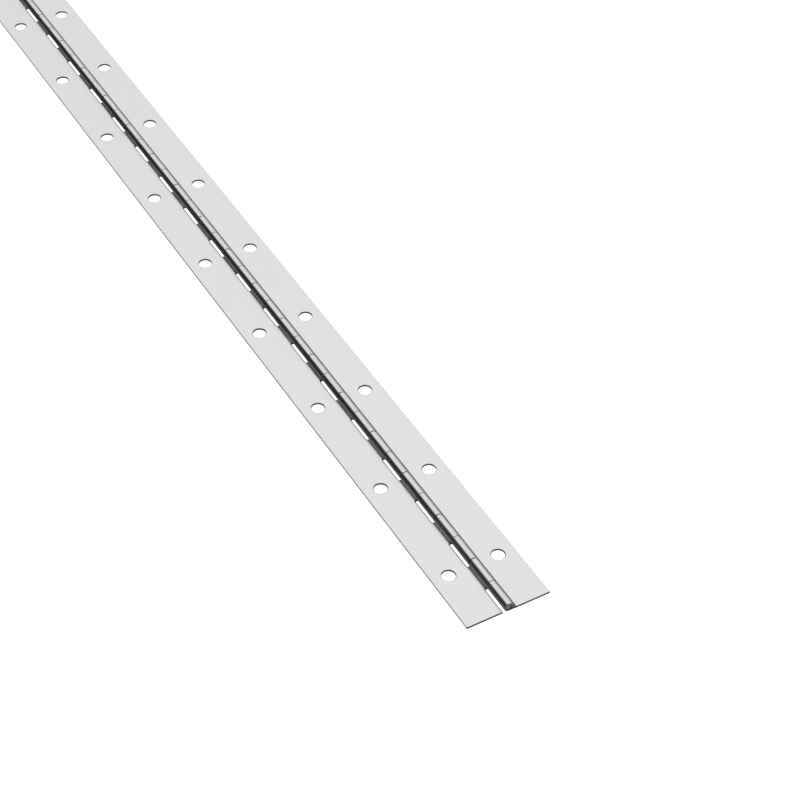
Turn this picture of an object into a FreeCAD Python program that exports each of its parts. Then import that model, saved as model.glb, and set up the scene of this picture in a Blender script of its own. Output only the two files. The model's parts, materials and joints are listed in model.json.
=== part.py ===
import FreeCAD, Part
import math
import os

# Continuous (piano) hinge, lying open and flat on its back. Lengths are millimetres.
# +X runs along the pin, +Y points to the left leaf, +Z points up on the barrel side.
# The origin is the middle of the back face, below the pin.

# Strip
KNUCKLE_PITCH = 12.5            # from the middle of one knuckle to the next, on alternate leaves
KNUCKLE_PAIRS = 24              # one knuckle of each leaf to a pair
LEAF_WIDTH = 17.5               # pin axis to outer edge
SHEET_THICKNESS = 0.8
LEAF_CORNER_RADIUS = 0.4

# Pin
PIN_DIAMETER = 2.2
PIN_RUNNING_CLEARANCE = 0.04    # radial, all round, in every knuckle
PIN_SETBACK = 0.3               # each end of the pin lies this far inside the barrel
PIN_CHAMFER = 0.2
PIN_GRIP_LENGTH = 8.0           # swelled length that holds the pin in the first knuckle
PIN_GRIP_TAPER = 1.0            # run-out from the swelled length to the plain pin

# Knuckles
KNUCKLE_GAP = 0.17              # mean gap between neighbouring knuckles
LEFT_LEAF_SHIFT = 0.07          # the left leaf's knuckles lie this much nearer the first end
CURL_TIP_GAP = 0.12             # height of the slit where a curl comes back to its own leaf
NOTCH_CLEARANCE = 0.5           # between a barrel and the notch edge of the other leaf
NOTCH_CORNER_RADIUS = 0.5

# Screw holes
HOLE_DIAMETER = 5.2
HOLE_PITCH = 50.0
FIRST_HOLE_FROM_END = 24.5      # at the first end, and the least at the last end
HOLE_ROW_FROM_AXIS = 10.5

# What follows from them
LENGTH = 2 * KNUCKLE_PAIRS * KNUCKLE_PITCH
HOLES_PER_LEAF = 1 + int((LENGTH - 2 * FIRST_HOLE_FROM_END) / HOLE_PITCH)
PIN_RADIUS = PIN_DIAMETER / 2
BORE_RADIUS = PIN_RADIUS + PIN_RUNNING_CLEARANCE
BARREL_RADIUS = BORE_RADIUS + SHEET_THICKNESS
AXIS_HEIGHT = BARREL_RADIUS
NOTCH_EDGE = BARREL_RADIUS + NOTCH_CLEARANCE
KNUCKLE_LENGTH = KNUCKLE_PITCH - KNUCKLE_GAP
FIRST_END = -LENGTH / 2
LAST_END = LENGTH / 2
SAME_PLACE = 0.001              # points closer than this are the same point


def knuckle_starts(first_cell, shift):
    """X of the first end of every knuckle of one leaf; its cells are every second one."""
    cells = range(first_cell, 2 * KNUCKLE_PAIRS, 2)
    return [FIRST_END + cell * KNUCKLE_PITCH + KNUCKLE_GAP / 2 + shift for cell in cells]


def comb_outline(starts, side):
    """Plan of the flat sheet: a strip with one straight tongue to the pin axis per knuckle."""
    notch = side * NOTCH_EDGE
    edge = side * LEAF_WIDTH
    points = [(FIRST_END, edge), (FIRST_END, notch)]
    for start in starts:
        end = start + KNUCKLE_LENGTH
        points += [(start, notch), (start, 0), (end, 0), (end, notch)]
    points += [(LAST_END, notch), (LAST_END, edge)]
    return [FreeCAD.Vector(x, y, 0) for x, y in points]


def upright_edges(sheet, from_axis, reach):
    """A flat sheet's edges square to it, at this distance from the pin axis and |X| up to reach."""
    found = []
    for edge in sheet.Edges:
        foot, head = edge.firstVertex().Point, edge.lastVertex().Point
        upright = abs(foot.z - head.z) > SHEET_THICKNESS / 2
        in_row = abs(abs(foot.y) - from_axis) < SAME_PLACE and abs(foot.x) < reach + SAME_PLACE
        if upright and in_row:
            found.append(edge)
    return found


def flat_sheet(starts, side):
    """The part of a leaf that stays flat, with its punched notches and rounded corners."""
    outline = comb_outline(starts, side)
    face = Part.Face(Part.makePolygon(outline + outline[:1]))
    sheet = face.extrude(FreeCAD.Vector(0, 0, SHEET_THICKNESS))
    outer_corners = upright_edges(sheet, LEAF_WIDTH, LENGTH / 2)
    sheet = sheet.makeFillet(LEAF_CORNER_RADIUS, outer_corners)
    notch_corners = upright_edges(sheet, NOTCH_EDGE, LENGTH / 2 - KNUCKLE_PITCH / 2)
    return sheet.makeFillet(NOTCH_CORNER_RADIUS, notch_corners)


def curl_sweep():
    """Angle that the sheet turns through, from under the pin to the slit above its own leaf."""
    tip_drop = BARREL_RADIUS - SHEET_THICKNESS - CURL_TIP_GAP
    return 270 + math.degrees(math.asin(tip_drop / BARREL_RADIUS))


def curl_point(radius, angle, x, side):
    """A point on the curl: angle 0 is under the pin, 90 is the side away from the leaf."""
    turn = math.radians(angle)
    y = -side * radius * math.sin(turn)
    return FreeCAD.Vector(x, y, AXIS_HEIGHT - radius * math.cos(turn))


def curl_arc(radius, start_angle, end_angle, x, side):
    angles = (start_angle, (start_angle + end_angle) / 2, end_angle)
    return Part.Arc(*[curl_point(radius, angle, x, side) for angle in angles]).toShape()


def knuckle_curl(start, side):
    """One knuckle: the sheet rolled round the pin."""
    tip = curl_sweep()
    outer = curl_arc(BARREL_RADIUS, 0, tip, start, side)
    inner = curl_arc(BORE_RADIUS, tip, 0, start, side)
    tip_edge = Part.makeLine(
        curl_point(BARREL_RADIUS, tip, start, side), curl_point(BORE_RADIUS, tip, start, side)
    )
    root_edge = Part.makeLine(
        curl_point(BORE_RADIUS, 0, start, side), curl_point(BARREL_RADIUS, 0, start, side)
    )
    profile = Part.Face(Part.Wire([outer, tip_edge, inner, root_edge]))
    return profile.extrude(FreeCAD.Vector(KNUCKLE_LENGTH, 0, 0))


def screw_hole(index, side):
    x = FIRST_END + FIRST_HOLE_FROM_END + index * HOLE_PITCH
    base = FreeCAD.Vector(x, side * HOLE_ROW_FROM_AXIS, -SHEET_THICKNESS)
    return Part.makeCylinder(HOLE_DIAMETER / 2, 3 * SHEET_THICKNESS, base)


def leaf(first_cell, shift, side):
    """One leaf: flat sheet, its knuckles and its row of plain screw holes."""
    starts = knuckle_starts(first_cell, shift)
    sheet = flat_sheet(starts, side)
    rolled = sheet.multiFuse([knuckle_curl(start, side) for start in starts])
    holes = [screw_hole(index, side) for index in range(HOLES_PER_LEAF)]
    return rolled.removeSplitter().cut(Part.makeCompound(holes))


def hinge_pin():
    """The pin: a wire with chamfered ends, swelled at the first end to grip its knuckle."""
    start = FIRST_END + PIN_SETBACK
    end = LAST_END - PIN_SETBACK
    grip_end = start + PIN_GRIP_LENGTH
    profile = [
        (start, 0),
        (start, BORE_RADIUS - PIN_CHAMFER),
        (start + PIN_CHAMFER, BORE_RADIUS),
        (grip_end, BORE_RADIUS),
        (grip_end + PIN_GRIP_TAPER, PIN_RADIUS),
        (end - PIN_CHAMFER, PIN_RADIUS),
        (end, PIN_RADIUS - PIN_CHAMFER),
        (end, 0),
    ]
    points = [FreeCAD.Vector(x, 0, AXIS_HEIGHT + radius) for x, radius in profile]
    face = Part.Face(Part.makePolygon(points + points[:1]))
    return face.revolve(FreeCAD.Vector(0, 0, AXIS_HEIGHT), FreeCAD.Vector(1, 0, 0), 360)


os.makedirs("parts", exist_ok=True)
pieces = {
    "right_leaf": leaf(0, 0, -1),
    "left_leaf": leaf(1, -LEFT_LEAF_SHIFT, 1),
    "hinge_pin": hinge_pin(),
}
for name, shape in pieces.items():
    shape.exportStep("parts/" + name + ".step")
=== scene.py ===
import json
import math

import bmesh
import bpy
from mathutils import Matrix, Vector


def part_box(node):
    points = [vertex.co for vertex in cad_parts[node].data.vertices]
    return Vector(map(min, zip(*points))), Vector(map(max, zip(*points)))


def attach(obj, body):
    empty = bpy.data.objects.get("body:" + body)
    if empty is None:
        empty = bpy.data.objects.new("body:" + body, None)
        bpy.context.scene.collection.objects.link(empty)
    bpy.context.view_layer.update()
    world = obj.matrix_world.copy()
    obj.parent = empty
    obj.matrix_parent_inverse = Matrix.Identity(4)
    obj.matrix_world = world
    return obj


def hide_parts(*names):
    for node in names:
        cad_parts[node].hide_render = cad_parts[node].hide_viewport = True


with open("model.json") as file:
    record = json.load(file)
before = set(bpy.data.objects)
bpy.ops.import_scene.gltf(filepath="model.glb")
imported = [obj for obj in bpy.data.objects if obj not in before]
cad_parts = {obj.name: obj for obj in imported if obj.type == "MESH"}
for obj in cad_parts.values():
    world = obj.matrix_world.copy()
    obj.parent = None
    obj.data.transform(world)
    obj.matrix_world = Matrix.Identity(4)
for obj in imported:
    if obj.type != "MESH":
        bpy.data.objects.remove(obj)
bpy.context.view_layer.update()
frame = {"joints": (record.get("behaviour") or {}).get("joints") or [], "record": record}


# The leaves: two strips of 0.8 mm stainless sheet. Each is punched to a comb with a row of
# screw holes, its edges are tumbled, and its tongues are then rolled round the pin wire,
# every tongue coming back down to a slit just above its own leaf.

mounts = frame["record"]["mounts"]
barrel_radius = frame["joints"][0]["pos_m"][2]
sheet_thickness = 0.0008
bore_radius = barrel_radius - sheet_thickness
knuckle_pitch = 0.0125
knuckle_gap = 0.00017
left_leaf_shift = 0.00007
notch_edge = barrel_radius + 0.0005
notch_corner = 0.0005
leaf_corner = 0.0004
tip_slit = 0.00012
back_round = 0.0001
top_round = 0.00025
# The last strip on the top is painted dark beside the barrel, as painted shade.
top_strip_width = 0.00018
long_edge = 0.1
long_edge_dark_amount = 0.45
crease_angle = math.radians(35)
edge_steps = 4
corner_steps = 6
curl_steps = 60
hole_points = 72
curl_sweep = 1.5 * math.pi + math.asin((bore_radius - tip_slit) / barrel_radius)
tip_reach = curl_sweep * barrel_radius


def arc(x, s, radius, start, end, steps):
    """Points on a round corner of the blank, from one angle in degrees to another."""
    angles = [math.radians(start + (end - start) * step / steps) for step in range(steps + 1)]
    return [(x + radius * math.cos(angle), s + radius * math.sin(angle)) for angle in angles]


def blank_outline(first_end, last_end, width, starts):
    """The comb's outline anticlockwise, and where each tongue's two root points are in it.

    A point is (x, s): s is the distance from the pin axis along the flat sheet, and is
    negative on the stretch that will be rolled.
    """
    points = []
    roots = []
    rows = [-tip_reach * step / curl_steps for step in range(curl_steps + 1)]
    low = notch_edge - notch_corner
    for start in starts:
        end = start + knuckle_pitch - knuckle_gap
        if start - first_end > knuckle_pitch / 2:
            points += arc(start - notch_corner, low, notch_corner, 90, 0, corner_steps)
        else:
            points += [(first_end, notch_edge), (start, notch_edge)]
        left_root = len(points)
        points += [(start, row) for row in rows]
        right_root = len(points) + curl_steps
        points += [(end, row) for row in reversed(rows)]
        if last_end - end > knuckle_pitch / 2:
            points += arc(end + notch_corner, low, notch_corner, 180, 90, corner_steps)
        else:
            points += [(end, notch_edge), (last_end, notch_edge)]
        roots.append((left_root, right_root))
    if last_end - points[-1][0] > knuckle_pitch / 2:
        points.append((last_end, notch_edge))
    outer = width - leaf_corner
    points += arc(last_end - leaf_corner, outer, leaf_corner, 0, 90, corner_steps)
    points += arc(first_end + leaf_corner, outer, leaf_corner, 90, 180, corner_steps)
    if starts[0] - first_end > knuckle_pitch / 2:
        points.append((first_end, notch_edge))
    return points, roots


def inset(loop, depth):
    """The loop moved into the metal on its left by depth."""
    moved = []
    for index, here in enumerate(loop):
        before = Vector(here) - Vector(loop[index - 1])
        after = Vector(loop[(index + 1) % len(loop)]) - Vector(here)
        inward = [Vector((-way.y, way.x)).normalized() for way in (before, after)]
        share = depth / (1 + inward[0].dot(inward[1]))
        moved.append(Vector(here) + (inward[0] + inward[1]) * share)
    return moved


def rim_rows():
    """Depth into the metal and height above the back, from the back round the edge to the top."""
    turns = [math.pi / 2 * step / edge_steps for step in range(edge_steps + 1)]
    back = [(back_round * (1 - math.sin(a)), back_round * (1 - math.cos(a))) for a in turns]
    top = [(top_round * (1 - math.cos(a)), sheet_thickness - top_round * (1 - math.sin(a))) for a in turns]
    return back + top + [(top_round + top_strip_width, sheet_thickness)]


def rolled(x, s, height, side):
    """Where a point of the flat blank lies once its tongues are rolled round the pin."""
    if s >= 0:
        return Vector((x, side * s, height))
    turn = -s / barrel_radius
    radius = barrel_radius - height
    return Vector((x, -side * radius * math.sin(turn), barrel_radius - radius * math.cos(turn)))


def rim(bm, loop):
    """The sheet's edge along one loop of the blank: its rings of points, back to top.

    Every face is marked with how dark it is painted: sheared edges fully, the strip's long
    slit edges less, both partly their own duller colour and partly painted shade, and the
    last ring, on the flat, only beside the barrel, where it is painted shade.
    """
    rings = []
    for depth, height in rim_rows():
        rings.append([bm.verts.new((p[0], p[1], height)) for p in inset(loop, depth)])
    for index, start in enumerate(loop):
        after = (index + 1) % len(loop)
        along_strip = (Vector(loop[after]) - Vector(start)).length > long_edge
        beside_barrel = max(start[1], loop[after][1]) < notch_edge + back_round
        for lower, upper in zip(rings, rings[1:]):
            face = bm.faces.new((lower[index], lower[after], upper[after], upper[index]))
            # Sheared edges are painted dark, partly their own colour and partly painted shade; the last ring
            # is painted shade beside the barrel.
            if upper is rings[-1]:
                dark_amount = float(beside_barrel)
            else:
                dark_amount = long_edge_dark_amount if along_strip else 1.0
            face[bm.faces.layers.float["cut_edge"]] = dark_amount
    return rings


def flat_edges(bm, ring, roots=()):
    """The edges round the stretch that stays flat, straight across each tongue's root."""
    skipped = set()
    for left, right in roots:
        skipped.update(range(left + 1, right))
    kept = [vert for index, vert in enumerate(ring) if index not in skipped]
    pairs = zip(kept, kept[1:] + kept[:1])
    return [bm.edges.get(pair) or bm.edges.new(pair) for pair in pairs]


def leaf_mesh(name, side, starts, hole_centres, hole_radius):
    """One leaf as a closed mesh: punched flat, edges tumbled, tongues rolled."""
    low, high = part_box(name)
    width = max(abs(low.y), abs(high.y))
    bm = bmesh.new()
    bm.faces.layers.float.new("cut_edge")
    bm.faces.layers.float.new("own_side")
    outline, roots = blank_outline(low.x, high.x, width, starts)
    outer_rings = rim(bm, outline)
    hole_rings = []
    for x, s in hole_centres:
        circle = arc(x, s, hole_radius, 360, 0, hole_points)[:-1]
        hole_rings.append(rim(bm, circle))
    for layer in (0, -1):
        edges = flat_edges(bm, outer_rings[layer], roots)
        for rings in hole_rings:
            edges += flat_edges(bm, rings[layer])
        bmesh.ops.triangle_fill(bm, edges=edges, use_beauty=True, normal=(0, 0, 1))
        ring = outer_rings[layer]
        for left, right in roots:
            for row in range(curl_steps):
                near, far = left + row, right - row
                bm.faces.new((ring[near], ring[near + 1], ring[far - 1], ring[far]))
    for vert in bm.verts:
        vert.co = rolled(*vert.co, side)
    bmesh.ops.recalc_face_normals(bm, faces=bm.faces)
    for face in bm.faces:
        face[bm.faces.layers.float["own_side"]] = side
    crease_edges(bm)
    return finished_mesh(bm, name + "_sheet")


def crease_edges(bm):
    """Smooth shading that breaks at true corners and where the rolled or flat sheet ends."""
    cut = bm.faces.layers.float["cut_edge"]
    for face in bm.faces:
        face.smooth = True
    for edge in bm.edges:
        kinds = {face[cut] > 0 for face in edge.link_faces}
        edge.smooth = len(kinds) == 1 and edge.calc_face_angle(0) < crease_angle


def finished_mesh(bm, name):
    mesh = bpy.data.meshes.new(name)
    bm.to_mesh(mesh)
    bm.free()
    return mesh


def add_piece(mesh, body, node, material):
    """A mesh shown in place of a CAD node, riding on that node's body."""
    mesh.materials.append(material)
    piece = bpy.data.objects.new(mesh.name, mesh)
    bpy.context.scene.collection.objects.link(piece)
    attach(piece, body)
    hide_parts(node)
    return piece


class Finish:
    """A value in a finish's node tree. Arithmetic on it adds Math nodes to the tree."""

    def __init__(self, tree, socket=None):
        self.tree = tree
        self.socket = socket

    def add(self, kind, settings=(), inputs=(), output=0):
        """Adds a node: first its settings, then a value or a link for each of its sockets."""
        node = self.tree.nodes.new(kind)
        for name, value in dict(settings).items():
            setattr(node, name, value)
        for name, value in dict(inputs).items():
            if isinstance(value, Finish):
                self.tree.links.new(value.socket, node.inputs[name])
            else:
                node.inputs[name].default_value = value
        return Finish(self.tree, node.outputs[output] if node.outputs else None)

    def math(self, operation, *values):
        return self.add("ShaderNodeMath", {"operation": operation}, enumerate((self,) + values))

    def __add__(self, other):
        return self.math("ADD", other)

    def __sub__(self, other):
        return self.math("SUBTRACT", other)

    def __rsub__(self, other):
        return self.add("ShaderNodeMath", {"operation": "SUBTRACT"}, {0: other, 1: self})

    def __mul__(self, other):
        return self.math("MULTIPLY", other)

    def __truediv__(self, other):
        return self.math("DIVIDE", other)

    __radd__ = __add__
    __rmul__ = __mul__

    def ramp(self, low, high):
        """0 below low, 1 above high, and an eased slope between them."""
        settings = {"interpolation_type": "SMOOTHSTEP"}
        return self.add("ShaderNodeMapRange", settings, {0: self, 1: low, 2: high, 3: 0.0, 4: 1.0})

    def grain(self, stretch, detail, roughness):
        """Noise in the piece's own space; stretch is how many grains fit in a metre each way."""
        place = self.add("ShaderNodeTexCoord", output="Object")
        scaled = self.add("ShaderNodeVectorMath", {"operation": "MULTIPLY"}, {0: place, 1: stretch})
        inputs = {"Vector": scaled, "Scale": 1.0, "Detail": detail, "Roughness": roughness}
        return self.add("ShaderNodeTexNoise", {}, inputs)

    def part(self, axis):
        """The X, Y or Z of a vector."""
        return self.add("ShaderNodeSeparateXYZ", {}, {0: self}, output=axis)

    def length_with(self, other):
        return (self * self + other * other).math("SQRT")

    def blend(self, first, second):
        """A colour between two others, by this value."""
        settings = {"data_type": "RGBA"}
        return self.add("ShaderNodeMix", settings, {0: self, 6: first, 7: second}, output=2)


def grey(value):
    return (value, value, value, 1)


def new_finish(name):
    material = bpy.data.materials.new(name)
    material.use_nodes = True
    material.node_tree.nodes.clear()
    return material, Finish(material.node_tree)


def steel_surface(finish, colour, roughness, height, lift):
    """Bare steel with this colour and roughness, and a fine relief lift metres high."""
    normal = finish.add("ShaderNodeBump", {}, {"Strength": 1.0, "Distance": lift, "Height": height})
    inputs = {"Base Color": colour, "Metallic": 1.0, "Roughness": roughness, "Normal": normal}
    shader = finish.add("ShaderNodeBsdfPrincipled", {}, inputs)
    finish.add("ShaderNodeOutputMaterial", {}, {"Surface": shader})


crevice_from_axis = 0.0019
crevice_height = 0.00135
crevice_shade_shift = 0.0008
crevice_shade_full = 0.00047
crevice_shade_end = 0.00083
burnish_low = 0.0009
burnish_high = 0.0012


def rolled_sheet_steel():
    """Satin mill finish, burnished where it is rolled, with fine lines and faint handling marks.

    Sheared edges are rougher and painted dark, partly their own duller colour and partly
    painted shade for dark lines along the edges. A band of painted shade lies on the right
    leaf along the barrel, in the crevice where the barrel meets it.
    """
    material, finish = new_finish("rolled_sheet_steel")
    lines = finish.grain((160.0, 9000.0, 9000.0), 3.0, 0.6)
    streaks = finish.grain((14.0, 700.0, 700.0), 2.0, 0.5)
    marks = finish.grain((70.0, 90.0, 90.0), 4.0, 0.55)
    scratches = finish.grain((2600.0, 120.0, 120.0), 1.0, 0.4).ramp(0.72, 0.80)
    shade = 0.5 * lines + 0.3 * streaks + 0.2 * marks
    cut_edge = finish.add("ShaderNodeAttribute", {"attribute_name": "cut_edge"}, output="Fac")
    own_side = finish.add("ShaderNodeAttribute", {"attribute_name": "own_side"}, output="Fac")
    place = finish.add("ShaderNodeTexCoord", output="Object")
    y, z = place.part("Y"), place.part("Z")
    from_crevice = (y * own_side - crevice_from_axis).length_with(z - crevice_height)
    ragged = from_crevice + 0.0001 * (marks - 0.5)
    # Painted shade: the right leaf is painted dark along the barrel, in the crevice between them.
    painted_crevice_shade = 1 - (ragged + crevice_shade_shift * own_side).ramp(crevice_shade_full, crevice_shade_end)
    satin = 1 - z.ramp(burnish_low, burnish_high)
    tone = 0.7 * satin + 0.3 * shade
    sheet = tone.blend(grey(0.72), grey(0.782))
    # Painted shade on the marked edges and on the strip beside the barrel, over the sheared edges' own darker
    # colour.
    darkened_sheet = cut_edge.blend(sheet, grey(0.09))
    colour = painted_crevice_shade.blend(darkened_sheet, grey(0.1))
    roughness = 0.11 + 0.12 * satin + 0.06 * shade + 0.04 * marks.ramp(0.45, 0.7) + 0.05 * scratches
    roughness = roughness + 0.16 * cut_edge + 0.22 * painted_crevice_shade
    steel_surface(finish, colour, roughness, lines - 0.3 * scratches, 0.000001)
    return material


def knuckle_starts(end, first_cell, shift):
    """X of the first end of every knuckle of one leaf, which has every second cell."""
    cells = round(-2 * end / knuckle_pitch)
    offset = end + knuckle_gap / 2 + shift
    return [offset + cell * knuckle_pitch for cell in range(first_cell, cells, 2)]


def screw_holes(node):
    """Centres (x, s) and radius of a leaf's screw holes, as its mounts state them."""
    rows = [m for m in mounts if m["name"].startswith(node) and m["kind"] == "bolt_pattern"]
    centres = []
    for mount in rows:
        reach = mount["dims"]["spacing_x_mm"] / 2000
        centres += [(mount["pos_m"][0] + step, abs(mount["pos_m"][1])) for step in (-reach, reach)]
    return centres, rows[0]["dims"]["hole_r_mm"] / 1000


sheet_steel = rolled_sheet_steel()
first_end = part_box("right_leaf")[0].x
leaves = (("right_leaf", "fixed_leaf", -1, 0, 0.0), ("left_leaf", "swinging_leaf", 1, 1, -left_leaf_shift))
for node, body, side, first_cell, shift in leaves:
    starts = knuckle_starts(first_end, first_cell, shift)
    mesh = leaf_mesh(node, side, starts, *screw_holes(node))
    add_piece(mesh, body, node, sheet_steel)


# The pin: one straight drawn steel wire as long as the barrel. Its ends are chamfered and
# lie just inside the barrel; its first few millimetres are swelled to grip the first knuckle.

pin_low, pin_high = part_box("hinge_pin")
pin_radius = 0.0011
grip_radius = bore_radius
grip_length = 0.008
grip_taper = 0.001
pin_chamfer = 0.0002
chamfer_steps = 4
end_hollow = pin_chamfer / 4
pin_points = 48


def pin_profile():
    """Places along the pin and the radius at each, with a rounded chamfer at both ends."""
    turns = [math.pi / 2 * step / chamfer_steps for step in range(chamfer_steps + 1)]
    start = []
    end = []
    for turn in turns:
        drop = pin_chamfer * (1 - math.sin(turn))
        along = pin_chamfer * (1 - math.cos(turn))
        start.append((pin_low.x + along, grip_radius - drop))
        end.append((pin_high.x - along, pin_radius - drop))
    grip_end = pin_low.x + grip_length
    return start + [(grip_end, grip_radius), (grip_end + grip_taper, pin_radius)] + end[::-1]


def pin_mesh():
    """The wire turned from its profile, closed by a slightly hollow cut at each end."""
    bm = bmesh.new()
    rings = []
    for x, radius in pin_profile():
        turns = [2 * math.pi * point / pin_points for point in range(pin_points)]
        ring = [(x, radius * math.sin(a), barrel_radius + radius * math.cos(a)) for a in turns]
        rings.append([bm.verts.new(place) for place in ring])
    for ring, after in zip(rings, rings[1:]):
        for index in range(pin_points):
            other = (index + 1) % pin_points
            bm.faces.new((ring[index], ring[other], after[other], after[index]))
    for ring, inward in ((rings[0], 1), (rings[-1], -1)):
        centre = Vector((ring[0].co.x + inward * end_hollow, 0, barrel_radius))
        middle = bm.verts.new(centre)
        for index in range(pin_points):
            bm.faces.new((ring[index], ring[(index + 1) % pin_points], middle))
    bmesh.ops.recalc_face_normals(bm, faces=bm.faces)
    for face in bm.faces:
        face.smooth = True
    for edge in bm.edges:
        edge.smooth = edge.calc_face_angle(0) < crease_angle
    return finished_mesh(bm, "hinge_pin_wire")


def drawn_wire_steel():
    """Bright drawn wire: die lines along its length and a thin film of dark oil."""
    material, finish = new_finish("drawn_wire_steel")
    lines = finish.grain((60.0, 12000.0, 12000.0), 2.0, 0.5)
    film = finish.grain((220.0, 400.0, 400.0), 3.0, 0.6)
    colour = film.blend(grey(0.09), grey(0.17))
    steel_surface(finish, colour, 0.26 + 0.14 * film, lines, 0.0000008)
    return material


add_piece(pin_mesh(), "fixed_leaf", "hinge_pin", drawn_wire_steel())


# The studio: a pale lit table far enough below for a folded-back leaf to clear it, a soft
# bright ceiling, and one dark card on the left that shades the near flank of the barrel.

table_drop = 0.02
table_size = 40.0
lit_half_width = 0.05
cloth_from_pin = 0.11
card_top = -0.12
card_full = 0.66
card_near_edge = 0.35
card_near_full = 0.5
ceiling_low = 0.45
ceiling_high = 0.66


def lit_table():
    """A white table top that glows evenly and shows no patch or shadow edge.

    The metal sees only the part below the hinge lit; further out it sees black cloth.
    """
    mesh = bpy.data.meshes.new("table_top")
    reach = table_size / 2
    corners = [(-reach, -reach, 0), (reach, -reach, 0), (reach, reach, 0), (-reach, reach, 0)]
    mesh.from_pydata(corners, [], [(0, 1, 2, 3)])
    table = bpy.data.objects.new("table_top", mesh)
    table.location.z = -table_drop
    bpy.context.scene.collection.objects.link(table)
    material, finish = new_finish("lit_white_top")
    inputs = {"Base Color": grey(0.9), "Roughness": 0.8, "Emission Color": grey(1), "Emission Strength": 0.85}
    top = finish.add("ShaderNodeBsdfPrincipled", {}, inputs)
    from_pin = finish.add("ShaderNodeTexCoord", output="Object").part("Y").math("ABSOLUTE")
    glow = from_pin.ramp(lit_half_width, cloth_from_pin).blend(grey(0.95), grey(0.01))
    inputs = {"Base Color": grey(0), "Emission Color": glow, "Emission Strength": 1.0}
    below = finish.add("ShaderNodeBsdfPrincipled", {}, inputs)
    seen = finish.add("ShaderNodeLightPath", output="Is Camera Ray")
    shader = finish.add("ShaderNodeMixShader", {}, {0: seen, 1: below, 2: top})
    finish.add("ShaderNodeOutputMaterial", {}, {"Surface": shader})
    mesh.materials.append(material)


def studio_surround():
    """Brightness by direction: a long white ceiling, dimmer low down, and a dark card."""
    world = bpy.data.worlds.new("studio")
    bpy.context.scene.world = world
    world.use_nodes = True
    world.node_tree.nodes.clear()
    air = Finish(world.node_tree)
    way = air.add("ShaderNodeTexCoord", output="Generated")
    x, y, z = way.part("X"), way.part("Y"), way.part("Z")
    leftward = y / y.length_with(z)
    card = leftward.ramp(card_top, card_full) * x.ramp(card_near_edge, card_near_full)
    ceiling = 0.86 + 0.14 * z.ramp(ceiling_low, ceiling_high)
    glow = ceiling * (1 - 0.975 * card)
    dark = air.add("ShaderNodeBackground", {}, {"Color": grey(0), "Strength": 0.0})
    bright = air.add("ShaderNodeBackground", {}, {"Color": grey(1), "Strength": 1.0})
    backdrop = air.add("ShaderNodeBackground", {}, {"Color": grey(1), "Strength": 1.1})
    room = air.add("ShaderNodeMixShader", {}, {0: glow, 1: dark, 2: bright})
    seen = air.add("ShaderNodeLightPath", output="Is Camera Ray")
    shader = air.add("ShaderNodeMixShader", {}, {0: seen, 1: room, 2: backdrop})
    air.add("ShaderNodeOutputWorld", {}, {"Surface": shader})


lit_table()
studio_surround()
bpy.context.scene.view_settings.view_transform = "Standard"


# The camera looks down the hinge from beyond its first end, a little to the left of the pin.

camera_aim = Vector((first_end + 0.11346, -0.02008, 0.0))
camera_distance = 0.8503
camera_turn = math.radians(-30.268)
camera_drop = math.radians(43.626)
camera_roll = math.radians(0.828)
camera_lens = 97.61
sensor_width = 36.0

camera = bpy.data.objects.new("camera", bpy.data.cameras.new("camera"))
camera.data.lens = camera_lens
camera.data.sensor_width = sensor_width
level = math.cos(camera_drop)
look = Vector((level * math.cos(camera_turn), level * math.sin(camera_turn), -math.sin(camera_drop)))
spin = look.to_track_quat("-Z", "Y").to_matrix() @ Matrix.Rotation(camera_roll, 3, "Z")
camera.matrix_world = Matrix.Translation(camera_aim - look * camera_distance) @ spin.to_4x4()
bpy.context.scene.collection.objects.link(camera)
bpy.context.scene.camera = camera
